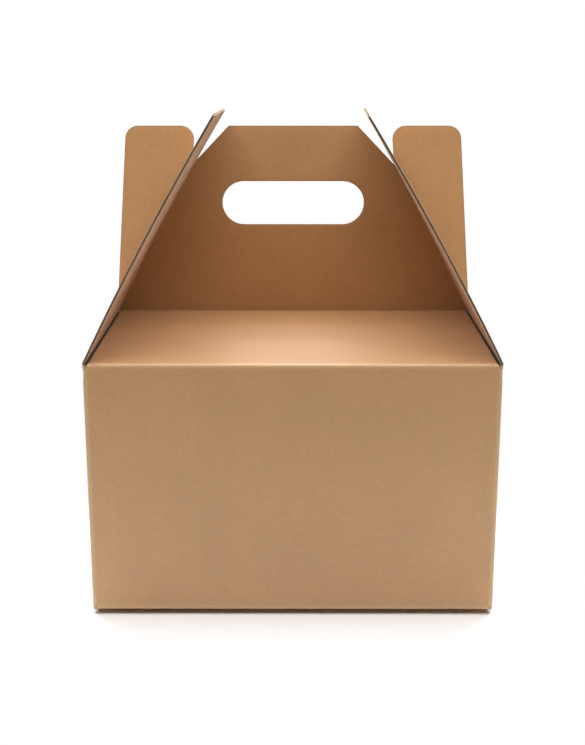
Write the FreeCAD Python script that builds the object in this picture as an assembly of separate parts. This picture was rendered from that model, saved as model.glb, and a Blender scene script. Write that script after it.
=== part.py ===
import FreeCAD, Part
import math
import os

from FreeCAD import Vector

# Carry box folded from one sheet of corrugated board, with its cover shut, its two side flaps
# leaning in and its handle panel upright. Millimetres and degrees. The origin is on the floor
# under the centre, the front looks towards -Y, and +Z is up.

# Box
width = 240.0
depth = 147.0
height = 155.5
board = 1.5

# Creases, given by the radius of their inner face
upright_crease_inside = 0.7
cover_crease_inside = 0.5
base_crease_inside = 1.0

# Top flaps: running gaps at their creases and to their neighbours
hinge_gap = 0.15
side_flap_gap = 0.4
cover_rear_gap = 0.6
corner_slot = 0.5

# Cover
cover_corner_cut = 1.6

# Side flaps: the lean is that of the straight line from the crease to the free edge
side_flap_front_length = 159.0
side_flap_rear_length = 153.5
side_flap_lean = 29.0
side_flap_bow_radius = 1760.0
side_flap_corner = 1.5

# Handle panel: the foot of each notch lies on the line of the side flap that leans past it
handle_height = 123.5
handle_side_clearance = 0.5
handle_chamfer_angle = 45.9
handle_corner = 0.8
notch_depth = 25.2
notch_clearance = 0.2
tab_outer_taper = 9.8
tab_inner_taper = 2.2
tab_corner = 8.6
hole_length = 94.2
hole_height = 28.7
hole_centre = 73.0

# Glue lap, and bottom flaps by their length from the wall and how far they keep inside its ends
lap_width = 24.0
lap_end_slant = 9.0
lap_wall_setback = 0.8
front_base_length = 62.0
side_base_length = 62.0
side_base_setback = 7.0
back_base_length = 128.0
back_base_setback = 1.0

LEFT = Vector(-1, 0, 0)
RIGHT = Vector(1, 0, 0)
FRONT = Vector(0, -1, 0)
BACK = Vector(0, 1, 0)
DOWN = Vector(0, 0, -1)
UP = Vector(0, 0, 1)

half_width = width / 2
half_depth = depth / 2
half_board = board / 2
upright_crease = upright_crease_inside + board
cover_crease = cover_crease_inside + board
base_crease = base_crease_inside + board

# The moving flaps turn about the middle of the board, level with the top of the cover
hinge_height = height
wall_top = hinge_height - half_board - hinge_gap
side_hinge_x = half_width - half_board
handle_hinge_y = half_depth - half_board
cover_half = half_width - upright_crease - corner_slot

# The bottom flaps lie on each other, the back one on the floor and the front one uppermost, so the
# front edge stands two boards above the floor
back_level = 0
side_level = board
front_level = 2 * board
back_foot = back_level + base_crease
side_foot = side_level + base_crease
front_foot = front_level + base_crease

# The left side flap's board is bowed about an axis along Y, far inside and below it
side_flap_root_lean = math.radians(side_flap_lean) - side_flap_front_length / side_flap_bow_radius / 2
left_bow_centre = Vector(math.cos(side_flap_root_lean) * side_flap_bow_radius - side_hinge_x, 0,
                         hinge_height - math.sin(side_flap_root_lean) * side_flap_bow_radius)


def block(low, high):
    """Box between two corners."""
    size = high - low
    return Part.makeBox(size.x, size.y, size.z, low)


def bend(centre, first, second, outer, along):
    """Quarter-round crease about centre, from direction first to direction second."""
    inner = outer - board
    middle = (first + second).normalize()
    edges = [
        Part.Arc(centre + first * outer, centre + middle * outer, centre + second * outer).toShape(),
        Part.LineSegment(centre + second * outer, centre + second * inner).toShape(),
        Part.Arc(centre + second * inner, centre + middle * inner, centre + first * inner).toShape(),
        Part.LineSegment(centre + first * inner, centre + first * outer).toShape(),
    ]
    return Part.Face(Part.Wire(edges)).extrude(along)


def rounded_outline(corners):
    """Face inside a closed outline of (point, radius) corners, each rounded where its radius asks."""
    starts = []
    edges = []
    count = len(corners)
    for index, (point, radius) in enumerate(corners):
        before = (corners[index - 1][0] - point).normalize()
        after = (corners[(index + 1) % count][0] - point).normalize()
        if radius == 0:
            starts.append((point, None, point))
            continue
        half_angle = before.getAngle(after) / 2
        reach = radius / math.tan(half_angle)
        bisector = (before + after).normalize()
        middle = point + bisector * (radius / math.sin(half_angle) - radius)
        starts.append((point + before * reach, middle, point + after * reach))
    for index, (enter, middle, leave) in enumerate(starts):
        if middle is not None:
            edges.append(Part.Arc(enter, middle, leave).toShape())
        edges.append(Part.LineSegment(leave, starts[(index + 1) % count][0]).toShape())
    return Part.Face(Part.Wire(edges))


def joined(shapes):
    """One clean solid from touching shapes."""
    whole = shapes[0].multiFuse(shapes[1:]).removeSplitter()
    return whole.Solids[0] if len(whole.Solids) == 1 else whole


def upright_walls():
    """The four walls and the upright creases between them, with the glue lap inside the left wall."""
    inner_x = half_width - upright_crease
    inner_y = half_depth - upright_crease
    pieces = []
    for side, end, foot in ((LEFT, FRONT, side_foot), (RIGHT, FRONT, side_foot), (RIGHT, BACK, back_foot)):
        centre = side * inner_x + end * inner_y + UP * foot
        pieces.append(bend(centre, side, end, upright_crease, UP * (wall_top - foot)))

    # The front wall stops where the cover's crease starts
    pieces.append(block(Vector(-inner_x, -half_depth, front_foot),
                        Vector(inner_x, -half_depth + board, height - cover_crease)))
    pieces.append(block(Vector(half_width - board, -inner_y, side_foot),
                        Vector(half_width, inner_y, wall_top)))

    # The left wall ends in a cut edge over the glue lap, and the back wall turns in to become the lap
    lap_x = -half_width + board
    lap_turn_x = lap_x + upright_crease
    lap_free_y = inner_y - lap_width
    pieces.append(block(Vector(-half_width, -inner_y, side_foot),
                        Vector(lap_x, half_depth - lap_wall_setback, wall_top)))
    pieces.append(bend(Vector(lap_turn_x, inner_y, back_foot), LEFT, BACK, upright_crease,
                       UP * (wall_top - back_foot)))
    pieces.append(block(Vector(lap_turn_x, half_depth - board, back_foot),
                        Vector(inner_x, half_depth, wall_top)))
    lap = rounded_outline([
        (Vector(lap_x, inner_y, side_foot), 0),
        (Vector(lap_x, lap_free_y, side_foot + lap_end_slant), 0),
        (Vector(lap_x, lap_free_y, wall_top - lap_end_slant), 0),
        (Vector(lap_x, inner_y, wall_top), 0),
    ])
    pieces.append(lap.extrude(RIGHT * board))
    return pieces


def cover():
    """The front flap, folded back flat over the box, and its crease."""
    crease_y = -half_depth + cover_crease
    rear = half_depth - board - cover_rear_gap
    crease = bend(Vector(-cover_half, crease_y, height - cover_crease), FRONT, UP, cover_crease,
                  RIGHT * (2 * cover_half))
    level = height - board
    outline = rounded_outline([
        (Vector(-cover_half, crease_y, level), 0),
        (Vector(cover_half, crease_y, level), 0),
        (Vector(cover_half, rear - cover_corner_cut, level), 0),
        (Vector(cover_half - cover_corner_cut, rear, level), 0),
        (Vector(-cover_half + cover_corner_cut, rear, level), 0),
        (Vector(-cover_half, rear - cover_corner_cut, level), 0),
    ])
    return [crease, outline.extrude(UP * board)]


def bottom():
    """Bottom flaps glued on each other: the front one folds in first, inside the side walls, then the
    two at the sides, and the back one last."""
    pieces = []
    for end, level, half_span, length in (
            (FRONT, front_level, cover_half, front_base_length),
            (BACK, back_level, half_width - back_base_setback, back_base_length)):
        crease_y = end.y * (half_depth - base_crease)
        free_y = end.y * (half_depth - length)
        pieces.append(bend(Vector(-half_span, crease_y, level + base_crease), end, DOWN, base_crease,
                           RIGHT * (2 * half_span)))
        pieces.append(block(Vector(-half_span, min(crease_y, free_y), level),
                            Vector(half_span, max(crease_y, free_y), level + board)))

    half_span = half_depth - side_base_setback
    for side in (LEFT, RIGHT):
        crease_x = side.x * (half_width - base_crease)
        free_x = side.x * (half_width - side_base_length)
        pieces.append(bend(Vector(crease_x, -half_span, side_foot), side, DOWN, base_crease,
                           BACK * (2 * half_span)))
        pieces.append(block(Vector(min(crease_x, free_x), -half_span, side_level),
                            Vector(max(crease_x, free_x), half_span, side_level + board)))
    return pieces


def carton():
    return joined(upright_walls() + cover() + bottom())


def on_left_flap(distance, offset):
    """Point on the bowed left side flap, distance along it from its crease and offset outwards."""
    turn = side_flap_root_lean + distance / side_flap_bow_radius
    outward = Vector(-math.cos(turn), 0, math.sin(turn))
    return left_bow_centre + outward * (side_flap_bow_radius + offset)


def left_side_flap():
    """Side flap with a slight inward bow and a rounded root that turns above the left wall."""
    lean = math.radians(side_flap_lean)
    hinge = on_left_flap(0, 0)
    root = (on_left_flap(-half_board, 0) - hinge).normalize() * half_board
    spare = 2 * board
    reach = side_flap_front_length + spare
    middle = reach / 2
    edges = [
        Part.Arc(on_left_flap(0, half_board), on_left_flap(middle, half_board),
                 on_left_flap(reach, half_board)).toShape(),
        Part.LineSegment(on_left_flap(reach, half_board), on_left_flap(reach, -half_board)).toShape(),
        Part.Arc(on_left_flap(reach, -half_board), on_left_flap(middle, -half_board),
                 on_left_flap(0, -half_board)).toShape(),
        Part.Arc(on_left_flap(0, -half_board), hinge + root, on_left_flap(0, half_board)).toShape(),
    ]
    front_y = -half_depth + side_flap_gap
    rear_y = half_depth - board - side_flap_gap
    bowed_board = Part.Face(Part.Wire(edges)).extrude(BACK * (rear_y - front_y))
    bowed_board.translate(BACK * front_y)

    # The cut outline lies in the plane of the straight line from crease to free edge
    along = Vector(math.sin(lean), 0, math.cos(lean))
    across = Vector(math.cos(lean), 0, -math.sin(lean))
    half_cut = 5 * board
    origin = hinge - across * half_cut
    outline = rounded_outline([
        (origin + BACK * front_y - along * spare, 0),
        (origin + BACK * front_y + along * side_flap_front_length, side_flap_corner),
        (origin + BACK * rear_y + along * side_flap_rear_length, side_flap_corner),
        (origin + BACK * rear_y - along * spare, 0),
    ])
    return bowed_board.common(outline.extrude(across * (2 * half_cut))).Solids[0]


def side_flap_half_gap(level):
    """Distance from the middle plane to the middle of a side flap's board, at a height."""
    turn = math.asin((level - left_bow_centre.z) / side_flap_bow_radius)
    return side_flap_bow_radius * math.cos(turn) - left_bow_centre.x


def hand_hole(face_y):
    """Slot with round ends, cut from face_y backwards."""
    round_radius = hole_height / 2
    centre_z = hinge_height + hole_centre
    right = Vector(hole_length / 2 - round_radius, face_y, centre_z)
    left = Vector(-right.x, face_y, centre_z)
    edges = [
        Part.Arc(right + DOWN * round_radius, right + RIGHT * round_radius,
                 right + UP * round_radius).toShape(),
        Part.LineSegment(right + UP * round_radius, left + UP * round_radius).toShape(),
        Part.Arc(left + UP * round_radius, left + LEFT * round_radius,
                 left + DOWN * round_radius).toShape(),
        Part.LineSegment(left + DOWN * round_radius, right + DOWN * round_radius).toShape(),
    ]
    return Part.Face(Part.Wire(edges)).extrude(BACK * (2 * board))


def handle_panel():
    """Upright back flap: a handle with a hand hole between two rounded tabs, over a rounded root."""
    root_half = half_width - handle_side_clearance
    foot = hinge_height - board
    top = hinge_height + handle_height
    notch_foot = top - notch_depth
    notch_half = side_flap_half_gap(notch_foot) + notch_clearance
    handle_top_half = notch_half - notch_depth / math.tan(math.radians(handle_chamfer_angle))

    def at(x, z):
        return Vector(x, handle_hinge_y - board, z)

    right_half = [
        (at(root_half, foot), 0),
        (at(root_half, hinge_height), 0),
        (at(root_half - tab_outer_taper, top), tab_corner),
        (at(notch_half - tab_inner_taper, top), tab_corner),
        (at(notch_half, notch_foot), 0),
        (at(handle_top_half, top), handle_corner),
    ]
    left_half = [(Vector(-point.x, point.y, point.z), radius) for point, radius in reversed(right_half)]
    outline = rounded_outline(right_half + left_half)

    hinge = Vector(-half_width, handle_hinge_y, hinge_height)
    inner = hinge + FRONT * half_board
    outer = hinge + BACK * half_board
    rise = UP * (handle_height + board)
    edges = [
        Part.LineSegment(inner + rise, inner).toShape(),
        Part.Arc(inner, hinge + DOWN * half_board, outer).toShape(),
        Part.LineSegment(outer, outer + rise).toShape(),
        Part.LineSegment(outer + rise, inner + rise).toShape(),
    ]
    rooted_board = Part.Face(Part.Wire(edges)).extrude(RIGHT * width)
    panel = rooted_board.common(outline.extrude(BACK * (2 * board)))
    return panel.cut(hand_hole(handle_hinge_y - board)).Solids[0]


left_flap = left_side_flap()
parts = {
    "carton": carton(),
    "side_flap_left": left_flap,
    "side_flap_right": left_flap.mirror(Vector(0, 0, 0), RIGHT),
    "handle_panel": handle_panel(),
}

os.makedirs("parts", exist_ok=True)
for name, shape in parts.items():
    shape.exportStep("parts/" + name + ".step")
    box = shape.BoundBox
    print(name, shape.ShapeType, len(shape.Solids), shape.isValid(), round(shape.Volume, 1),
          [round(value, 2) for value in (box.XMin, box.XMax, box.YMin, box.YMax, box.ZMin, box.ZMax)])
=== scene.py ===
import math

import bpy
import numpy as np
from mathutils import Euler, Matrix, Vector
from mathutils.geometry import delaunay_2d_cdt


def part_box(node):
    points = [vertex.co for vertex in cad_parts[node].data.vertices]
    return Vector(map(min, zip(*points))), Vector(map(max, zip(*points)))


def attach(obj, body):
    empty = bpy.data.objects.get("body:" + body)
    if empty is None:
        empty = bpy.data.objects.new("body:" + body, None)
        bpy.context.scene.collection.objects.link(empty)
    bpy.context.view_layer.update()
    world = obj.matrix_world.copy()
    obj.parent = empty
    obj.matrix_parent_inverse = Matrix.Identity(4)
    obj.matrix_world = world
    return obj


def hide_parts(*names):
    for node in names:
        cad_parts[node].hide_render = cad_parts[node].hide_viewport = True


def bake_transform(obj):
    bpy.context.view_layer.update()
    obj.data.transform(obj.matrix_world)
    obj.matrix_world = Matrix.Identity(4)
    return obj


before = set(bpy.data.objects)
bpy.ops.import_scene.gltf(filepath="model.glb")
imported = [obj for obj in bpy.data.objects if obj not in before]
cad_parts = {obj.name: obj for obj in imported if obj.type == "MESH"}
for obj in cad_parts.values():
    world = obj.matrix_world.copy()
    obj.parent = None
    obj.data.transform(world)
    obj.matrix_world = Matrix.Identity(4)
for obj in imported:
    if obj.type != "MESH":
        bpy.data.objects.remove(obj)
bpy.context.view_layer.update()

# The box is one sheet of corrugated board, so every piece is laid out on the flat net of that
# sheet, where u runs round the walls and v runs up them, and is then folded into place. A depth w
# is 0 on the outer face and negative inside the board. Net sizes are in millimetres; objects,
# lamps and the camera are in metres.
mm = 0.001

# Board and its cut edges
board = 1.5
liner = 0.3
edge_width = 0.55
edge_pinch = 0.08
edge_burr = 0.4

# Fluted layer: its paper, waves and slant, how far it stays back from a cut edge and from the end
# of a flap's crease, and the share of its height that is left in a crease
flute_paper = 0.16
flute_clearance = 0.01
flute_pitch = 3.55
flute_skew = 0.055
flute_inset = 0.6
uncut_inset = 0.05
crushed = 0.3

# Steps of the meshes
flute_columns = 8
carton_flute_columns = 6
flute_row = 14.0
grid_step = 7.0
grid_clearance = 0.3
line_merge = 0.05
crease_steps = 8
crease_margin = 1.0
corner_steps = 6
hole_steps = 16
smooth_angle = 38.0

# Tolerances of the meshes
touching = 1e-6
tiny = 1e-9
end_share = 1e-4
least_run = 1e-3
merge_distance = 1e-7

# Creases of the carton, by the radius of their outer face
upright_radius = 2.2
cover_radius = 2.0
base_radius = 2.5

# Creases of the moving flaps: reach along the board from the line they turn on, drop of a flap's
# ears below that line, reach past a side wall's rear end, and least share of an ear's drop at its faces
hinge_reach = 1.2
ear_drop = 0.75
rear_reach = 0.6
bead_least = 0.1

# Lower ends of the upright creases, and the steps where the bottom flaps get wider or narrower
corner_foot = 3.3
corner_slit = 0.05
base_ear_drop = 0.3
front_base_shoulder = 1.5

# How far along the board a crease crushes the flutes and pales the paper, with wear and a painted
# highlight
fold_fade = 1.0
upright_fold_foot = 1.5
hinge_fold_half = 0.4
hinge_fold_fade = 0.8

# Cover, glue lap, bottom flaps, and how far the walls' cut tops lie below the box's height
cover_inset = 0.5
cover_front_inset = 1.1
cover_corner_cut = 0.7
cover_rear_gap = 0.6
lap_wall_setback = 0.8
lap_width = 24.0
lap_end_slant = 9.0
side_base_setback = 7.0
side_base_length = 62.0
front_base_length = 62.0
back_base_setback = 1.0
back_base_length = 128.0
wall_top_drop = 0.78

# Side flaps; a twist is in degrees and sets in over a share of the flap's length
side_flap_front_length = 158.85
side_flap_rear_length = 153.5
side_flap_lean = 29.0
side_flap_bow_radius = 1760.0
side_flap_corner = 1.5
left_flap_twist = -0.1
right_flap_twist = 0.5
twist_share = 0.25

# Handle panel
chamfer_angle = 45.9
handle_corner = 0.8
notch_depth = 25.2
notch_clearance = 0.2
tab_outer_taper = 9.8
tab_inner_taper = 2.2
tab_corner = 8.6
hole_length = 94.2
hole_height = 28.7
hole_centre = 73.0

# Colours of the papers
kraft_colour = (0.585, 0.308, 0.117)
inner_kraft_colour = (0.532, 0.305, 0.136)
# Paler colour over the creases: partly wear, partly a painted highlight
wear_highlight_colour = (0.67, 0.42, 0.20)
# Grey brown along the cut edges: partly bruise, partly painted shade of the crushed edge
bruise_shade_colour = (0.27, 0.185, 0.11)
# Near-black painted shade for the gap beside the cover, inside a side flap's crease
crease_shade_colour = (0.035, 0.018, 0.010)
dark_fleck_colour = (0.23, 0.11, 0.040)
pale_fleck_colour = (0.74, 0.50, 0.26)
cut_paper_colours = ((0.26, 0.16, 0.09), (0.37, 0.235, 0.14))
fluting_colours = ((0.13, 0.08, 0.045), (0.21, 0.135, 0.08))

# Finish of the liners, of which the inner one is the duller paper
outer_finish = {"grain": 1.0, "roughness": 0.40, "specular": 1.0, "sheen": 0.42, "bump": 0.25}
inner_finish = {"grain": 0.45, "roughness": 0.65, "specular": 0.30, "sheen": 0.10, "bump": 0.10}
roughness_range = 0.10
sheen_roughness = 0.45

# Fibres: how much darker and, for red, green and blue, how much paler than the base they are
fibre_fall = 0.20
fibre_rise = (0.15, 0.17, 0.22)
fibre_stops = (0.32, 0.50, 0.68)
cross_fibre_stops = (0.34, 0.64)
soft_stops = (0.3, 0.7)

# Relief of the liners, as shares of the bump's depth
flute_relief = 0.10
fibre_relief = 0.55
mottle_relief = 0.35

# Wear and a painted highlight over a crease, bruise and painted shade along a cut edge, and the painted
# shade inside a side flap's crease, whose pairs say where it starts and where it is full, by height over
# the crease
wear_highlight_gain = 0.30
wear_highlight_least = 0.5
bruise_shade_falloff = 0.7
bruise_shade_strength = 0.75
crease_shade_top = (1.3, 0.3)
crease_shade_foot = (-9.0, -7.0)
crease_shade_back_gap = 1.5
crease_shade_strength = 0.9

# Light and floor, in metres and watts. A lamp is a name, a place, the point that it faces, a width,
# a depth and a power. The floor keeps its shadow near the box's footprint and loses it further out.
room_light = 0.02
lamps = (
    ("overhead", (0, 0, 0.95), (0, 0, 0), 1.2, 1.2, 18.7),
    ("behind", (0, 0.75, 0.88), (0, 0, 0.15), 2.0, 0.4, 16.0),
    ("backdrop", (0, 0.95, 0.55), (0, 0, 0.2), 2.0, 0.5, 8.5),
)
floor_half = 0.48
floor_rear = 0.13
shadow_kept = 0.006
shadow_gone = 0.04

# Camera, fitted to the box's corners and edges in the photograph; its place is in metres
photo_height_pixels = 745
focal_pixels = 1244.4
sensor_size = 36.0
near_clip = 0.01
camera_place = (0.00149, -0.75734, 0.33518)
camera_tilt = 15.094
camera_turn = 0.134

# Sizes read from the frame
carton_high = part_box("carton")[1] / mm
half_width = carton_high.x
half_depth = carton_high.y
height = carton_high.z
left_flap_box = [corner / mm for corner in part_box("side_flap_left")]
handle_box = [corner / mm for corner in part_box("handle_panel")]
flap_front_y = left_flap_box[0].y
flap_rear_y = left_flap_box[1].y
handle_root_half = handle_box[1].x
handle_top = handle_box[1].z

half_board = board / 2
inner_x = half_width - upright_radius
inner_y = half_depth - upright_radius
wall_top = height - wall_top_drop
seam = height - hinge_reach
side_foot = board + base_radius
front_foot = 2 * board + base_radius
back_foot = base_radius
quarter_turn = math.pi / 2


def crease_length(radius):
    """Length of the board's middle layer round a quarter-turn crease."""
    return (radius - half_board) * quarter_turn


def smooth(value):
    """Smooth step from 0 to 1."""
    t = min(max(value, 0.0), 1.0)
    return t * t * (3 - 2 * t)


# Folding

def folded(run, radius, w):
    """Distances inwards and onwards at a run along the board past the start of its crease."""
    if run <= 0:
        return -w, run
    length = crease_length(radius)
    turn = min(run / length, 1.0) * quarter_turn
    inward = radius - (radius + w) * math.cos(turn) + max(run - length, 0.0)
    return inward, (radius + w) * math.sin(turn)


class Wall:
    """One straight wall on the net, with its place on the floor plan and the folds at its ends."""

    def __init__(self, name, corner, along, length, foot, u_start, cover_start=None):
        self.name = name
        self.corner = corner
        self.along = along
        self.normal = (along[1], -along[0])
        self.length = length
        self.foot = foot
        self.start = u_start
        self.end = u_start + length
        self.cover_start = cover_start
        self.base_from = self.start
        self.base_to = self.end

    def at(self, u, inward, z):
        """Point in space for a place along the wall, a distance inwards and a height."""
        run = u - self.start
        return (self.corner[0] + self.along[0] * run - self.normal[0] * inward,
                self.corner[1] + self.along[1] * run - self.normal[1] * inward, z)

    def point(self, u, v, w):
        """Folded point of the wall, its cover or its bottom flap."""
        if v < self.foot:
            inward, drop = folded(self.foot - v, base_radius, w)
            return self.at(u, inward, self.foot - drop)
        if self.cover_start is not None and v > self.cover_start:
            inward, rise = folded(v - self.cover_start, cover_radius, w)
            return self.at(u, inward, self.cover_start + rise)
        return self.at(u, -w, v)


def make_walls():
    """The walls in the order of the net, from the left wall's raw edge round to the glue lap."""
    lap_x = -half_width + board
    raw_edge_y = half_depth - lap_wall_setback
    lap_turn_x = lap_x + upright_radius
    layout = (
        ("left", (-half_width, raw_edge_y), (0, -1), raw_edge_y + inner_y, side_foot, None),
        ("front", (-inner_x, -half_depth), (1, 0), 2 * inner_x, front_foot, height - cover_radius),
        ("right", (half_width, -inner_y), (0, 1), 2 * inner_y, side_foot, None),
        ("back", (inner_x, half_depth), (-1, 0), inner_x - lap_turn_x, back_foot, None),
        ("lap", (lap_x, inner_y), (0, -1), lap_width, side_foot, None),
    )
    walls = {}
    u = 0.0
    for name, corner, along, length, foot, cover_start in layout:
        walls[name] = Wall(name, corner, along, length, foot, u, cover_start)
        u += length + crease_length(upright_radius)
    for name, ends in (("left", (1, -1)), ("right", (-1, 1))):
        wall = walls[name]
        half_span = half_depth - side_base_setback
        first, last = (wall.start + (end * half_span - wall.corner[1]) * wall.along[1] for end in ends)
        wall.base_from = first
        wall.base_to = last
    front = walls["front"]
    front.base_from = front.start + cover_inset
    front.base_to = front.end - cover_inset
    back = walls["back"]
    base_half = half_width - back_base_setback
    back.base_from = back.start - (base_half - inner_x)
    back.base_to = back.end + (base_half + lap_turn_x)
    return walls


walls = make_walls()
wall_order = list(walls.values())


def on_carton(u, v, w):
    """Point of the folded carton for a place on its flat net."""
    for wall in wall_order:
        on_base = wall.base_from - touching <= u <= wall.base_to + touching
        if v < wall.foot and on_base and wall.name != "lap":
            return wall.point(u, v, w)
    for wall in wall_order:
        if wall.start - touching <= u <= wall.end + touching:
            return wall.point(u, max(v, wall.foot) if wall.name == "lap" else v, w)
        if wall.end < u < wall.end + crease_length(upright_radius):
            turn = (u - wall.end) / crease_length(upright_radius) * quarter_turn
            reach = upright_radius + w
            x, y, z = wall.at(wall.end, upright_radius, v)
            return (x + reach * (wall.normal[0] * math.cos(turn) + wall.along[0] * math.sin(turn)),
                    y + reach * (wall.normal[1] * math.cos(turn) + wall.along[1] * math.sin(turn)), z)
    raise ValueError("a place beyond the net")


side_root_lean = math.radians(side_flap_lean) - side_flap_front_length / side_flap_bow_radius / 2


def bowed_section(distance, w):
    """Distance inwards and height on a side flap, a distance along it from the line it turns on."""
    turn = side_root_lean + distance / side_flap_bow_radius
    reach = side_flap_bow_radius + half_board + w
    inward = half_board + math.cos(side_root_lean) * side_flap_bow_radius - math.cos(turn) * reach
    return inward, height - math.sin(side_root_lean) * side_flap_bow_radius + math.sin(turn) * reach


def side_flap_half_gap(level):
    """Distance from the middle plane to the middle of a side flap's board, at a height."""
    centre_z = height - math.sin(side_root_lean) * side_flap_bow_radius
    turn = math.asin((level - centre_z) / side_flap_bow_radius)
    centre_x = math.cos(side_root_lean) * side_flap_bow_radius - half_width + half_board
    return side_flap_bow_radius * math.cos(turn) - centre_x


def turned(inward, z, angle):
    """A section point turned inwards by an angle about the line that a flap turns on."""
    across = inward - half_board
    up = z - height
    return (half_board + across * math.cos(angle) + up * math.sin(angle),
            height - across * math.sin(angle) + up * math.cos(angle))


def bead(distance, w):
    """Distance along a flap, with the ear below the line it turns on rounded off to a bead."""
    if distance >= 0:
        return distance
    offset = (half_board + w) / half_board
    return distance * max(math.sqrt(max(1 - offset * offset, 0.0)), bead_least)


def on_side_flap(wall, twist):
    """Folding function of a side flap; a positive twist leans its front further in than its rear."""
    def place(u, v, w):
        distance = bead(v - height, w)
        inward, z = bowed_section(distance, w)
        y = wall.corner[1] + wall.along[1] * (u - wall.start)
        twist_run = side_flap_front_length * twist_share
        angle = math.radians(twist) * -y / half_depth * smooth(distance / twist_run)
        inward, z = turned(inward, z, angle)
        return wall.at(u, inward, z)
    return place


def on_handle(u, v, w):
    """Folding function of the upright handle panel."""
    return walls["back"].at(u, -w, height + bead(v - height, w))


def on_hinge(wall, lean):
    """Folding function of the crease under a moving flap, an arc that ends at the flap's lean."""
    def place(u, v, w):
        offset = half_board + w
        if lean == 0:
            return wall.at(u, -w, v)
        radius = hinge_reach / math.tan(lean / 2)
        turn = (v - seam) / (2 * hinge_reach) * lean
        reach = radius + offset
        return wall.at(u, half_board + radius - math.cos(turn) * reach, seam + math.sin(turn) * reach)
    return place


# Outlines on the net

def rounded(corners):
    """Closed loop through (point, radius) corners, with an arc where a radius is given."""
    loop = []
    count = len(corners)
    for index, (point, radius) in enumerate(corners):
        point = np.array(point, float)
        if radius == 0:
            loop.append(point)
            continue
        before = np.array(corners[index - 1][0], float) - point
        after = np.array(corners[(index + 1) % count][0], float) - point
        before /= np.linalg.norm(before)
        after /= np.linalg.norm(after)
        half_angle = math.acos(float(np.clip(before @ after, -1, 1))) / 2
        bisector = before + after
        centre = point + bisector / np.linalg.norm(bisector) * radius / math.sin(half_angle)
        first = point + before * radius / math.tan(half_angle) - centre
        last = point + after * radius / math.tan(half_angle) - centre
        turn = math.atan2(first[0] * last[1] - first[1] * last[0], first @ last)
        for step in range(corner_steps + 1):
            angle = turn * step / corner_steps
            loop.append(centre + np.array([first[0] * math.cos(angle) - first[1] * math.sin(angle),
                                           first[0] * math.sin(angle) + first[1] * math.cos(angle)]))
    return np.array(loop)


def carton_loop():
    """Outline of the carton on the net."""
    left, front, right, back, lap = wall_order
    base_crease = crease_length(base_radius)
    cover_turned = front.cover_start + crease_length(cover_radius)
    cover_end = cover_turned + 2 * half_depth - cover_radius - board - cover_rear_gap
    cover_from = front.start + cover_front_inset
    cover_to = front.end - cover_front_inset

    def base(wall, top, length):
        """A bottom flap, from its start along the net round to its end."""
        low = wall.foot - base_crease - (length - base_radius)
        return [(wall.base_from, top), (wall.base_from, low), (wall.base_to, low), (wall.base_to, top)]

    def corner(wall, following):
        """Lower end of the upright crease between two walls, cut free of their bottom creases."""
        near = wall.end + corner_slit
        far = following.start - corner_slit
        return [(near, wall.foot), (near, corner_foot), (far, corner_foot), (far, following.foot)]

    def front_base():
        """The front's bottom flap, at full width through its crease and narrower further in."""
        first, low_left, low_right, last = base(front, front_foot, front_base_length)
        shoulder = front_foot - base_crease - front_base_shoulder
        narrow = shoulder - front_base_shoulder
        near = front.start + corner_slit
        far = front.end - corner_slit
        return [(near, front_foot), (near, shoulder), (first[0], narrow), low_left,
                low_right, (last[0], narrow), (far, shoulder), (far, front_foot)]

    ear_top = back_foot - base_ear_drop
    points = [(left.start, side_foot)] + base(left, side_foot, side_base_length)
    points += corner(left, front) + front_base() + corner(front, right)
    points += base(right, side_foot, side_base_length)
    points += [(right.end, side_foot), (right.end, back_foot)]
    points += [(back.start, back_foot), (back.start, ear_top)]
    points += base(back, ear_top, back_base_length)
    points += [(back.end, ear_top), (back.end, back_foot), (lap.start, back_foot), (lap.start, side_foot)]
    points += [(lap.end, side_foot + lap_end_slant), (lap.end, wall_top - lap_end_slant)]
    points += [(lap.start, wall_top), (back.end, wall_top), (back.end, seam)]
    points += [(back.start, seam), (back.start, wall_top), (right.end, wall_top), (right.end, seam)]
    points += [(right.start, seam), (right.start, wall_top), (front.end, wall_top)]
    points += [(front.end, front.cover_start), (cover_to, cover_turned)]
    cut_start = cover_end - cover_corner_cut
    points += [(front.base_to, cut_start), (front.base_to - cover_corner_cut, cover_end)]
    points += [(front.base_from + cover_corner_cut, cover_end), (front.base_from, cut_start)]
    points += [(cover_from, cover_turned), (front.start, front.cover_start)]
    points += [(front.start, wall_top), (left.end, wall_top), (left.end, seam)]
    flap_end = left.end - 2 * inner_y
    points += [(flap_end, seam), (flap_end, wall_top), (left.start, wall_top)]
    return np.array(points, float)


def side_flap_loop(wall):
    """Outline of a side flap on the net."""
    def u_at(y):
        """Place along the net for a place from front to back."""
        return wall.start + (y - wall.corner[1]) * wall.along[1]

    root = height + hinge_reach
    ear = height - ear_drop
    corners = [
        ((u_at(flap_front_y), height + side_flap_front_length), side_flap_corner),
        ((u_at(flap_rear_y), height + side_flap_rear_length), side_flap_corner),
        ((u_at(flap_rear_y), root), 0),
        ((u_at(-inner_y), root), 0),
        ((u_at(-inner_y), ear), 0),
        ((u_at(flap_front_y), ear), 0),
    ]
    if wall.along[1] > 0:
        corners.reverse()
    return rounded(corners)


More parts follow.
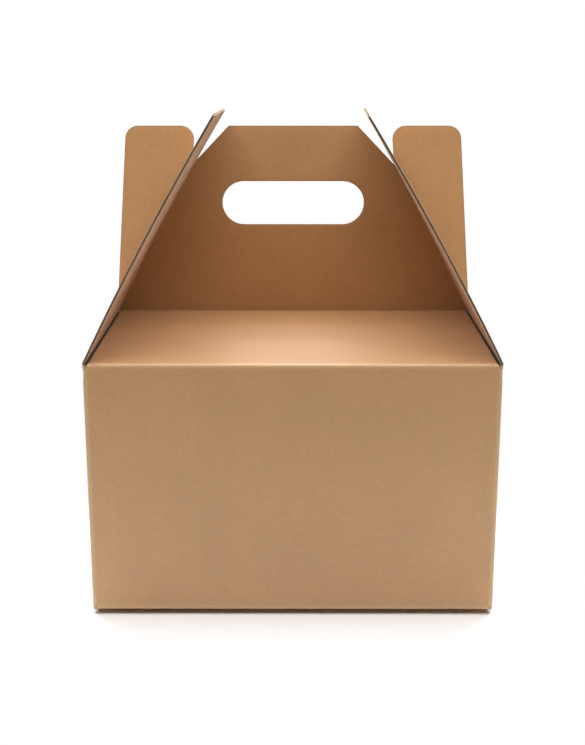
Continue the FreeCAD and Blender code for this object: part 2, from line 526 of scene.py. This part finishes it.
def handle_loops():
    """Outline of the handle panel on the net, and its hand hole."""
    back = walls["back"]

    def u_at(x):
        """Place along the net for a place from left to right."""
        return back.start + back.corner[0] - x

    notch_foot = handle_top - notch_depth
    notch_half = side_flap_half_gap(notch_foot) + notch_clearance
    top_half = notch_half - notch_depth / math.tan(math.radians(chamfer_angle))
    root = height + hinge_reach
    ear = height - ear_drop
    strip_left = back.corner[0] - back.length
    right_half = [
        (handle_root_half, height, 0),
        (handle_root_half - tab_outer_taper, handle_top, tab_corner),
        (notch_half - tab_inner_taper, handle_top, tab_corner),
        (notch_half, notch_foot, 0),
        (top_half, handle_top, handle_corner),
    ]
    left_half = [(-x, z, radius) for x, z, radius in reversed(right_half)]
    root_line = [
        (-handle_root_half, ear, 0), (strip_left, ear, 0), (strip_left, root, 0),
        (inner_x, root, 0), (inner_x, ear, 0), (handle_root_half, ear, 0),
    ]
    corners = [((u_at(x), z), radius) for x, z, radius in right_half + left_half + root_line]
    outline = rounded(corners)

    centre = height + hole_centre
    end_radius = hole_height / 2
    hole = []
    for side in (-1, 1):
        end_u = u_at(side * (hole_length - hole_height) / 2)
        for step in range(hole_steps + 1):
            angle = math.pi * step / hole_steps - quarter_turn
            hole.append((end_u - side * math.cos(angle) * end_radius,
                         centre - side * math.sin(angle) * end_radius))
    return [outline, np.array(hole)]


def strip_loop(start, end):
    """Outline of the crease under a moving flap."""
    high = height + hinge_reach
    return np.array([(start, seam), (end, seam), (end, high), (start, high)], float)


def inset(loop, distance):
    """The loop moved inwards, or outwards for a hole, with the net's area kept on its inner side."""
    following = np.roll(loop, -1, axis=0) - loop
    following /= np.linalg.norm(following, axis=1)[:, None]
    normals = np.stack([-following[:, 1], following[:, 0]], axis=1)
    area = np.sum(loop[:, 0] * np.roll(loop[:, 1], -1) - np.roll(loop[:, 0], -1) * loop[:, 1])
    if area < 0:
        normals = -normals
    before = np.roll(normals, 1, axis=0)
    mitre = (normals + before) / (1 + np.sum(normals * before, axis=1))[:, None]
    return loop + mitre * distance


# Meshes from the net

def inside(points, loops):
    """Which points lie inside the loops, by the even-odd rule."""
    result = np.zeros(len(points), bool)
    x, y = points[:, 0], points[:, 1]
    for loop in loops:
        for (ax, ay), (bx, by) in zip(loop, np.roll(loop, -1, axis=0)):
            if ay == by:
                continue
            crosses = (ay > y) != (by > y)
            result ^= crosses & (x < (bx - ax) * (y - ay) / (by - ay) + ax)
    return result


def joins_a_crease(start, end):
    """Whether an edge of an outline is where a wall or flap goes on into a crease."""
    levels = (seam, height + hinge_reach)
    return any(abs(start[1] - level) + abs(end[1] - level) < touching for level in levels)


def distance_to(points, loops, cut_only=False):
    """Distance from each point to the nearest edge of the loops, or to the nearest cut edge."""
    result = np.full(len(points), np.inf)
    for loop in loops:
        for start, end in zip(loop, np.roll(loop, -1, axis=0)):
            if cut_only and joins_a_crease(start, end):
                continue
            span = end - start
            share = np.clip(((points - start) @ span) / (span @ span), 0, 1)
            nearest = start + share[:, None] * span
            result = np.minimum(result, np.linalg.norm(points - nearest, axis=1))
    return result


def cut_at_lines(loop, u_lines, v_lines):
    """The loop with a point added wherever it crosses a line of the grid."""
    points = []
    for start, end in zip(loop, np.roll(loop, -1, axis=0)):
        shares = {0.0}
        for axis, lines in ((0, u_lines), (1, v_lines)):
            reach = end[axis] - start[axis]
            if abs(reach) > tiny:
                found = (lines - start[axis]) / reach
                found = found[(found > end_share) & (found < 1 - end_share)]
                shares.update(float(share) for share in found)
        ordered = sorted(shares)
        kept = [ordered[0]]
        for share in ordered[1:]:
            if (share - kept[-1]) * np.linalg.norm(end - start) > least_run:
                kept.append(share)
        points.extend(start + (end - start) * share for share in kept)
    return np.array(points)


def triangles_inside(loops, u_lines, v_lines, rings=()):
    """Points and triangles that fill the loops on a grid of lines and along the rings."""
    grid = np.array(np.meshgrid(u_lines, v_lines)).reshape(2, -1).T
    gap = grid_clearance * min(np.diff(u_lines).min(), np.diff(v_lines).min())
    grid = grid[inside(grid, loops)]
    grid = grid[distance_to(grid, [*loops, *rings]) > gap]
    points = []
    edges = []
    for loop in [*loops, *rings]:
        fine = cut_at_lines(loop, u_lines, v_lines)
        first = len(points)
        count = len(fine)
        points.extend(fine)
        edges.extend((first + index, first + (index + 1) % count) for index in range(count))
    points.extend(grid)
    result = delaunay_2d_cdt([Vector(point) for point in points], edges, [], 0, merge_distance)
    flat = np.array([tuple(point) for point in result[0]])
    faces = np.array(result[2])
    corners = flat[faces]
    sides_a = corners[:, 1] - corners[:, 0]
    sides_b = corners[:, 2] - corners[:, 0]
    area = sides_a[:, 0] * sides_b[:, 1] - sides_a[:, 1] * sides_b[:, 0]
    kept = inside(corners.mean(axis=1), loops) & (np.abs(area) > tiny)
    faces = faces[kept]
    flipped = area[kept] < 0
    faces[flipped] = faces[flipped][:, ::-1]
    return flat, faces


# The board's materials, in the order in which each piece lists them
outer_paper = 0
cut_edge = 1
fluting = 2
inner_paper = 3


class Builder:
    """Collects closed sheets into one mesh, with each point's place on the net."""

    def __init__(self, place, fold_at):
        self.place = place
        self.fold_at = fold_at
        self.points = []
        self.faces = []
        self.kinds = []
        self.sheet = []
        self.fold = []
        self.edge = []

    def add_sheet(self, flat, faces, near, far, border, kind):
        """A closed sheet between two lists of depths; kind is the material index of its faces."""
        first = len(self.points)
        count = len(flat)
        for depths in (near, far):
            for (u, v), w in zip(flat, depths):
                self.points.append(self.place(u, v, w))
                self.sheet.append((u, v, w))
                self.fold.append(self.fold_at(u, v))
            self.edge.extend(border)

        # Edges of the outline are those that run one way only; a dict keeps them in order
        directed = {}
        for a, b, c in faces:
            self.faces.append((first + a, first + b, first + c))
            self.faces.append((first + count + c, first + count + b, first + count + a))
            self.kinds.extend((kind, kind))
            for edge in ((a, b), (b, c), (c, a)):
                directed[edge] = True
        for a, b in directed:
            if (b, a) not in directed:
                self.faces.append((first + a, first + count + a, first + count + b, first + b))
                self.kinds.append(fluting if kind == fluting else cut_edge)

    def finish(self, name, materials):
        """The mesh object, in metres."""
        mesh = bpy.data.meshes.new(name)
        mesh.from_pydata([tuple(value * mm for value in point) for point in self.points], [], self.faces)
        for material in materials:
            mesh.materials.append(material)
        mesh.polygons.foreach_set("material_index", self.kinds)
        attribute = mesh.attributes.new("sheet", "FLOAT_VECTOR", "POINT")
        attribute.data.foreach_set("vector", np.array(self.sheet, np.float32).ravel())
        for label, values in (("fold", self.fold), ("edge", self.edge)):
            attribute = mesh.attributes.new(label, "FLOAT", "POINT")
            attribute.data.foreach_set("value", np.array(values, np.float32))
        mesh.validate()
        mesh.shade_smooth()
        mesh.set_sharp_from_angle(angle=math.radians(smooth_angle))
        thing = bpy.data.objects.new(name, mesh)
        bpy.context.collection.objects.link(thing)
        return thing


def flute_depth(u, v, crush):
    """Depth of the fluted layer's middle."""
    swing = (board - 2 * liner - flute_paper) / 2 - flute_clearance
    phase = (u + flute_skew * v) / flute_pitch * 2 * math.pi
    return -half_board + swing * crush * math.sin(phase)


def lines_over(start, end, step):
    """Evenly spaced values that include both ends."""
    count = max(1, math.ceil((end - start) / step))
    return list(np.linspace(start, end, count + 1))


def as_lines(values):
    """Sorted grid lines without near duplicates."""
    ordered = sorted(values)
    kept = [ordered[0]]
    for value in ordered[1:]:
        if value - kept[-1] > line_merge:
            kept.append(value)
    return np.array(kept)


def within(loops, distance):
    """The outline moved inwards and its holes moved outwards."""
    return [inset(loop, distance if loop is loops[0] else -distance) for loop in loops]


def add_liners(builder, loops, u_lines, v_lines, cut_edges):
    """The outer and the inner liner."""
    rings = within(loops, edge_width) if cut_edges else []
    flat, faces = triangles_inside(loops, u_lines, v_lines, rings)
    border = np.zeros(len(flat))
    if cut_edges:
        border = 1 - np.clip(distance_to(flat, loops, True) / edge_width, 0, 1)

    # Cutting pinches the faces together and presses torn fluting against the inner liner
    builder.add_sheet(flat, faces, -edge_pinch * border, border * 0 - liner, border, outer_paper)
    builder.add_sheet(flat, faces, liner - board + edge_burr * border, edge_pinch * border - board,
                      border, inner_paper)


def add_fluting(builder, loops, v_folds, columns, cut_edges):
    """The fluted sheet between the liners, filled on lines that follow the flutes."""
    step = flute_pitch / columns
    trimmed = []
    for inner in within(loops, flute_inset if cut_edges else uncut_inset):
        trimmed.append(np.stack([inner[:, 0] + flute_skew * inner[:, 1], inner[:, 1]], axis=1))
    squeeze = np.array([1 / step, 1 / flute_row])
    scaled = [loop * squeeze for loop in trimmed]
    low = scaled[0].min(axis=0)
    high = scaled[0].max(axis=0)
    rows = as_lines(list(np.arange(math.ceil(low[1]), high[1]) * flute_row) + list(v_folds)) / flute_row
    flat, faces = triangles_inside(scaled, np.arange(math.ceil(low[0]), high[0]), rows)
    flat = flat / squeeze
    flat[:, 0] -= flute_skew * flat[:, 1]

    middle = np.array([flute_depth(u, v, 1 - (1 - crushed) * builder.fold_at(u, v)) for u, v in flat])
    builder.add_sheet(flat, faces, middle + flute_paper / 2, middle - flute_paper / 2, middle * 0, fluting)


def board_piece(name, loops, place, u_lines, v_lines, v_folds, fold_at, columns=flute_columns,
                cut_edges=True):
    """A piece of corrugated board: two liners with a fluted sheet between them."""
    builder = Builder(place, fold_at)
    add_liners(builder, loops, u_lines, v_lines, cut_edges)
    add_fluting(builder, loops, v_folds, columns, cut_edges)
    return builder.finish(name, board_materials)


# Materials

def grey(level):
    """Grey colour of a level."""
    return (level, level, level)


def mixed(tree, share, first, second):
    """Output of two shaders mixed by a share."""
    node = tree.nodes.new("ShaderNodeMixShader")
    for socket, output in zip(node.inputs, (share, first, second)):
        tree.links.new(output, socket)
    return node.outputs[0]


class Nodes:
    """Short calls for building a material's nodes."""

    def __init__(self, name):
        self.material = bpy.data.materials.new(name)
        self.material.use_nodes = True
        self.tree = self.material.node_tree
        self.shader = self.tree.nodes["Principled BSDF"]

    def add(self, kind, **settings):
        """A new node with its settings."""
        node = self.tree.nodes.new(kind)
        for key, value in settings.items():
            setattr(node, key, value)
        return node

    def link(self, output, socket):
        """A link from an output to a socket."""
        self.tree.links.new(output, socket)

    def attribute(self, label, output):
        """A value or vector that the mesh holds at each point."""
        return self.add("ShaderNodeAttribute", attribute_name=label).outputs[output]

    def parts(self, vector):
        """The X, Y and Z of a vector."""
        node = self.add("ShaderNodeSeparateXYZ")
        self.link(vector, node.inputs[0])
        return node.outputs

    def value(self, operation, *items):
        """Result of a math node on numbers or outputs."""
        node = self.add("ShaderNodeMath", operation=operation)
        for socket, item in zip(node.inputs, items):
            if isinstance(item, (int, float)):
                socket.default_value = item
            else:
                self.link(item, socket)
        return node.outputs[0]

    def noise(self, sheet, per_mm, detail, roughness=0.55, offset=(0, 0, 0)):
        """Noise on the net, by its scale per millimetre along u, v and w."""
        mapping = self.add("ShaderNodeMapping")
        self.link(sheet, mapping.inputs["Vector"])
        mapping.inputs["Scale"].default_value = per_mm
        mapping.inputs["Location"].default_value = offset
        node = self.add("ShaderNodeTexNoise")
        self.link(mapping.outputs[0], node.inputs["Vector"])
        node.inputs["Scale"].default_value = 1.0
        node.inputs["Detail"].default_value = detail
        node.inputs["Roughness"].default_value = roughness
        return node.outputs["Fac"]

    def fade(self, source, start, end):
        """0 at the start and 1 at the end, smoothed between them."""
        node = self.add("ShaderNodeMapRange", interpolation_type="SMOOTHSTEP")
        self.link(source, node.inputs["Value"])
        node.inputs["From Min"].default_value = start
        node.inputs["From Max"].default_value = end
        return node.outputs[0]

    def ramp(self, source, positions, colours):
        """Colour ramp with a colour at each position."""
        node = self.add("ShaderNodeValToRGB")
        self.link(source, node.inputs["Fac"])
        elements = node.color_ramp.elements
        while len(elements) < len(positions):
            elements.new(0.5)
        for element, position, colour in zip(elements, positions, colours):
            element.position = position
            element.color = (*colour, 1)
        return node.outputs["Color"]

    def mix(self, kind, share, first, second):
        """Two colours mixed or multiplied by a share."""
        node = self.add("ShaderNodeMix", data_type="RGBA", blend_type=kind)
        for socket, item in zip((node.inputs[0], node.inputs[6], node.inputs[7]), (share, first, second)):
            if isinstance(item, (int, float)):
                socket.default_value = item
            elif isinstance(item, tuple):
                socket.default_value = (*item, 1)
            else:
                self.link(item, socket)
        return node.outputs[2]

    def shaded(self, colour, noise, spread, positions=soft_stops):
        """The colour, darker by a spread where the noise is low and paler where it is high."""
        levels = self.ramp(noise, positions, (grey(1 - spread), grey(1 + spread)))
        return self.mix("MULTIPLY", 1.0, colour, levels)

    def flecked(self, colour, noise, positions, levels, share, fleck_colour):
        """The colour with flecks, by their levels at two values of the noise."""
        amount = self.ramp(noise, positions, [grey(level) for level in levels])
        return self.mix("MIX", self.value("MULTIPLY", amount, share), colour, fleck_colour)

    def relief(self, output, strength, depth):
        """Bump of the surface, with its depth in metres."""
        bump = self.add("ShaderNodeBump")
        bump.inputs["Strength"].default_value = strength
        bump.inputs["Distance"].default_value = depth
        self.link(output, bump.inputs["Height"])
        self.link(bump.outputs[0], self.shader.inputs["Normal"])


def liner_colour(nodes, sheet, base, grain, mottle, fibres):
    """Kraft brown with darker and paler fibres, soft clouds and small flecks."""
    cloud = nodes.noise(sheet, per_mm=(0.035, 0.02, 1.0), detail=2.0)
    cross_fibres = nodes.noise(sheet, per_mm=(3.2, 1.2, 1.0), detail=4.0, roughness=0.7, offset=(31, 7, 3))
    flecks = nodes.noise(sheet, per_mm=(1.1, 2.0, 1.0), detail=1.0, roughness=0.4, offset=(11, 53, 5))
    darkest = tuple(part * (1 - fibre_fall * grain) for part in base)
    palest = tuple(part * (1 + rise * grain) for part, rise in zip(base, fibre_rise))
    colour = nodes.ramp(fibres, fibre_stops, (darkest, base, palest))
    colour = nodes.shaded(colour, mottle, spread=0.05)
    colour = nodes.shaded(colour, cloud, spread=0.03)
    colour = nodes.shaded(colour, cross_fibres, spread=0.07 * grain, positions=cross_fibre_stops)
    colour = nodes.flecked(colour, flecks, positions=(0.20, 0.27), levels=(1, 0), share=0.30,
                           fleck_colour=dark_fleck_colour)
    return nodes.flecked(colour, flecks, positions=(0.74, 0.80), levels=(0, 1), share=0.25,
                         fleck_colour=pale_fleck_colour)


def painted_crease_shade(nodes, u, v):
    """How much painted shade darkens the paper inside the creases that turn the side flaps."""
    below = nodes.fade(v, height + crease_shade_top[0], height + crease_shade_top[1])
    above = nodes.fade(v, height + crease_shade_foot[0], height + crease_shade_foot[1])
    beside = nodes.value("LESS_THAN", u, walls["back"].start - crease_shade_back_gap)
    band = nodes.value("MULTIPLY", nodes.value("MULTIPLY", below, above), beside)
    return nodes.value("MULTIPLY", band, crease_shade_strength)


def kraft_liner(name, base, finish, has_crease_shade):
    """Brown kraft paper that shows the faint lines of the flutes."""
    nodes = Nodes(name)
    sheet = nodes.attribute("sheet", "Vector")
    parts = nodes.parts(sheet)
    mottle = nodes.noise(sheet, per_mm=(0.35, 0.3, 1.0), detail=4.0, roughness=0.6)
    fibres = nodes.noise(sheet, per_mm=(1.0, 3.6, 1.0), detail=5.0, roughness=0.72)
    colour = liner_colour(nodes, sheet, base, finish["grain"], mottle, fibres)

    # The liner is a little paler over a crease: partly wear where it is stretched, partly a painted
    # highlight along the rounded fold
    wear_highlight_level = nodes.value("MULTIPLY_ADD", mottle, wear_highlight_gain, wear_highlight_least)
    wear_highlight_share = nodes.value("MULTIPLY", nodes.attribute("fold", "Fac"), wear_highlight_level)
    colour = nodes.mix("MIX", wear_highlight_share, colour, wear_highlight_colour)

    # Cutting bruises the paper along an edge to a grey brown, which also serves as painted shade of the
    # crushed edge
    edge_bruise_shade = nodes.value("POWER", nodes.attribute("edge", "Fac"), bruise_shade_falloff)
    colour = nodes.mix("MIX", nodes.value("MULTIPLY", edge_bruise_shade, bruise_shade_strength), colour, bruise_shade_colour)
    # Painted shade: a near-black band inside the creases that turn the side flaps, for the shade in the
    # gap beside the cover
    if has_crease_shade:
        colour = nodes.mix("MIX", painted_crease_shade(nodes, parts["X"], parts["Y"]), colour, crease_shade_colour)
    nodes.link(colour, nodes.shader.inputs["Base Color"])

    across = nodes.value("MULTIPLY_ADD", parts["Y"], flute_skew, parts["X"])
    flutes = nodes.value("SINE", nodes.value("MULTIPLY", across, 2 * math.pi / flute_pitch))
    relief = nodes.value("MULTIPLY", flutes, flute_relief)
    relief = nodes.value("MULTIPLY_ADD", fibres, fibre_relief, relief)
    relief = nodes.value("MULTIPLY_ADD", mottle, mottle_relief, relief)
    nodes.relief(relief, strength=finish["bump"], depth=0.06 * mm)

    least_rough = finish["roughness"]
    rough = nodes.ramp(mottle, soft_stops, (grey(least_rough), grey(least_rough + roughness_range)))
    nodes.link(rough, nodes.shader.inputs["Roughness"])
    nodes.shader.inputs["Specular IOR Level"].default_value = finish["specular"]
    nodes.shader.inputs["Sheen Weight"].default_value = finish["sheen"]
    nodes.shader.inputs["Sheen Roughness"].default_value = sheen_roughness
    return nodes.material


def cut_paper():
    """Cut edges of the liners: torn fibres, a little darker and duller than the faces."""
    nodes = Nodes("cut paper edge")
    sheet = nodes.attribute("sheet", "Vector")
    fuzz = nodes.noise(sheet, per_mm=(2.5, 2.5, 6.0), detail=3.0, roughness=0.6)
    nodes.link(nodes.ramp(fuzz, soft_stops, cut_paper_colours), nodes.shader.inputs["Base Color"])
    nodes.relief(fuzz, strength=0.5, depth=0.08 * mm)
    nodes.shader.inputs["Roughness"].default_value = 0.85
    return nodes.material


def fluted_paper():
    """The fluted layer: plain darker paper with fine fibres."""
    nodes = Nodes("fluted paper")
    sheet = nodes.attribute("sheet", "Vector")
    fibres = nodes.noise(sheet, per_mm=(1.5, 0.5, 1.0), detail=4.0, roughness=0.6, offset=(5, 5, 5))
    nodes.link(nodes.ramp(fibres, soft_stops, fluting_colours), nodes.shader.inputs["Base Color"])
    nodes.relief(fibres, strength=0.3, depth=0.05 * mm)
    nodes.shader.inputs["Roughness"].default_value = 0.8
    return nodes.material


board_materials = [
    kraft_liner("outer kraft liner", kraft_colour, outer_finish, has_crease_shade=False),
    cut_paper(),
    fluted_paper(),
    kraft_liner("inner kraft liner", inner_kraft_colour, inner_finish, has_crease_shade=True),
]


# Pieces

def crease_lines(start, length):
    """Grid lines through a crease and just beyond both its ends."""
    beyond = [start - crease_margin, start + length + crease_margin]
    return list(np.linspace(start, start + length, crease_steps + 1)) + beyond


def near_band(value, start, end, reach):
    """1 inside a band and fading to 0 at a reach outside it."""
    outside = max(start - value, value - end, 0.0)
    return 1 - smooth(outside / reach)


def carton_fold(u, v):
    """1 on the carton's creases and 0 away from them."""
    best = 0.0
    for wall in wall_order:
        if v > wall.foot - upright_fold_foot and wall.name != "lap":
            best = max(best, near_band(u, wall.end, wall.end + crease_length(upright_radius), fold_fade))
        if wall.start <= u <= wall.end:
            best = max(best, near_band(v, wall.foot - crease_length(base_radius), wall.foot, fold_fade))
            if wall.cover_start is not None:
                cover_end = wall.cover_start + crease_length(cover_radius)
                best = max(best, near_band(v, wall.cover_start, cover_end, fold_fade))
    return best


def flap_fold(u, v):
    """A moving flap's board has no crease of its own."""
    return 0.0


def hinge_fold(u, v):
    """1 along the line that a flap turns on and 0 at the edges of its crease."""
    return near_band(v, height - hinge_fold_half, height + hinge_fold_half, hinge_fold_fade)


def carton_piece():
    """Walls, glue lap, cover and bottom as one folded board."""
    loop = carton_loop()
    u_values = []
    for wall in wall_order:
        u_values += lines_over(wall.start, wall.end, grid_step)
        if wall.name != "lap":
            u_values += crease_lines(wall.end, crease_length(upright_radius))
        u_values += [wall.base_from, wall.base_to]
    v_folds = []
    for foot in (side_foot, front_foot, back_foot):
        v_folds += crease_lines(foot - crease_length(base_radius), crease_length(base_radius))
    v_folds += crease_lines(walls["front"].cover_start, crease_length(cover_radius))
    v_folds += [seam, wall_top]
    v_values = v_folds + lines_over(loop[:, 1].min(), loop[:, 1].max(), grid_step)
    board_object = board_piece("carton_board", [loop], on_carton, as_lines(u_values), as_lines(v_values),
                               v_folds, carton_fold, carton_flute_columns)
    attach(board_object, "carton")
    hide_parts("carton")


def moving_flap(body, loops, place, wall, strip, lean):
    """A moving flap's board, and the crease that joins it to its wall."""
    low = loops[0].min(axis=0)
    high = loops[0].max(axis=0)
    u_values = as_lines(lines_over(low[0], high[0], grid_step))
    v_values = as_lines(lines_over(height + hinge_reach, high[1], grid_step) + [low[1]])
    flap = board_piece(body + "_board", loops, place, u_values, v_values, [], flap_fold)
    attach(flap, body)
    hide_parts(body)

    folds = list(np.linspace(seam, height + hinge_reach, crease_steps + 1))
    crease = board_piece(body + "_crease", [strip_loop(*strip)], on_hinge(wall, lean),
                         as_lines(lines_over(*strip, grid_step)), as_lines(folds), folds, hinge_fold,
                         cut_edges=False)
    start = Vector(wall.at(wall.start, half_board, seam)) * mm
    tip = Vector(wall.at(wall.start, half_board + hinge_reach * math.sin(lean),
                         height + hinge_reach * math.cos(lean))) * mm
    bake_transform(crease)


def build_box():
    """The carton and its three moving flaps."""
    left, right, back = walls["left"], walls["right"], walls["back"]
    left_strip = (left.end - 2 * inner_y - rear_reach, left.end)
    right_strip = (right.start, right.end + rear_reach)
    carton_piece()
    for body, wall, twist, strip in (("side_flap_left", left, left_flap_twist, left_strip),
                                     ("side_flap_right", right, right_flap_twist, right_strip)):
        moving_flap(body, [side_flap_loop(wall)], on_side_flap(wall, twist), wall, strip, side_root_lean)
    moving_flap("handle_panel", handle_loops(), on_handle, back, (back.start, back.end), 0)


build_box()


# Floor, lights and camera

def floor():
    """White floor that keeps the box's shadow near it and turns plain white further out."""
    nodes = Nodes("white floor")
    nodes.tree.nodes.remove(nodes.shader)
    matte = nodes.add("ShaderNodeBsdfDiffuse")
    matte.inputs["Color"].default_value = (1, 1, 1, 1)
    white = nodes.add("ShaderNodeEmission")
    place = nodes.parts(nodes.add("ShaderNodeNewGeometry").outputs["Position"])
    beyond_side = nodes.value("SUBTRACT", nodes.value("ABSOLUTE", place["X"]), half_width * mm)
    beyond_front = nodes.value("SUBTRACT", nodes.value("ABSOLUTE", place["Y"]), half_depth * mm)
    beyond = nodes.value("MAXIMUM", beyond_side, beyond_front)
    rays = nodes.add("ShaderNodeLightPath").outputs
    direct = nodes.value("MAXIMUM", rays["Is Camera Ray"], rays["Is Transmission Ray"])
    direct = nodes.value("MAXIMUM", direct, rays["Is Glossy Ray"])
    whiteness = nodes.value("MULTIPLY", direct, nodes.fade(beyond, shadow_kept, shadow_gone))
    surface = mixed(nodes.tree, whiteness, matte.outputs[0], white.outputs[0])
    nodes.link(surface, nodes.tree.nodes["Material Output"].inputs["Surface"])

    corners = [(-floor_half, -floor_half, 0), (floor_half, -floor_half, 0),
               (floor_half, floor_rear, 0), (-floor_half, floor_rear, 0)]
    mesh = bpy.data.meshes.new("floor")
    mesh.from_pydata(corners, [], [(0, 1, 2, 3)])
    mesh.materials.append(nodes.material)
    ground = bpy.data.objects.new("floor", mesh)
    bpy.context.collection.objects.link(ground)


def world_light(strength):
    """Even white light from all round, seen by the camera as plain white."""
    world = bpy.data.worlds.new("white room")
    bpy.context.scene.world = world
    world.use_nodes = True
    tree = world.node_tree
    background = tree.nodes["Background"]
    white = tree.nodes.new("ShaderNodeBackground")
    for node, level in ((background, strength), (white, 1.0)):
        node.inputs["Color"].default_value = (1, 1, 1, 1)
        node.inputs["Strength"].default_value = level
    rays = tree.nodes.new("ShaderNodeLightPath")
    surface = mixed(tree, rays.outputs["Is Camera Ray"], background.outputs[0], white.outputs[0])
    tree.links.new(surface, tree.nodes["World Output"].inputs["Surface"])


def area_lamp(name, place, aim, width, depth, power):
    """Rectangular soft lamp that faces a point."""
    lamp = bpy.data.lights.new(name, "AREA")
    lamp.shape = "RECTANGLE"
    lamp.size = width
    lamp.size_y = depth
    lamp.energy = power
    thing = bpy.data.objects.new(name, lamp)
    thing.location = place
    thing.rotation_euler = (Vector(aim) - Vector(place)).to_track_quat("-Z", "Y").to_euler()
    bpy.context.collection.objects.link(thing)


def camera():
    """The photograph's view."""
    lens = bpy.data.cameras.new("camera")
    lens.sensor_fit = "AUTO"
    lens.sensor_width = sensor_size
    lens.lens = focal_pixels * sensor_size / photo_height_pixels
    lens.clip_start = near_clip
    thing = bpy.data.objects.new("camera", lens)
    thing.location = camera_place
    thing.rotation_euler = Euler((math.radians(90 - camera_tilt), 0, math.radians(camera_turn)), "XYZ")
    bpy.context.collection.objects.link(thing)
    bpy.context.scene.camera = thing


floor()
world_light(room_light)
for lamp_values in lamps:
    area_lamp(*lamp_values)
camera()
bpy.context.scene.view_settings.view_transform = "Standard"
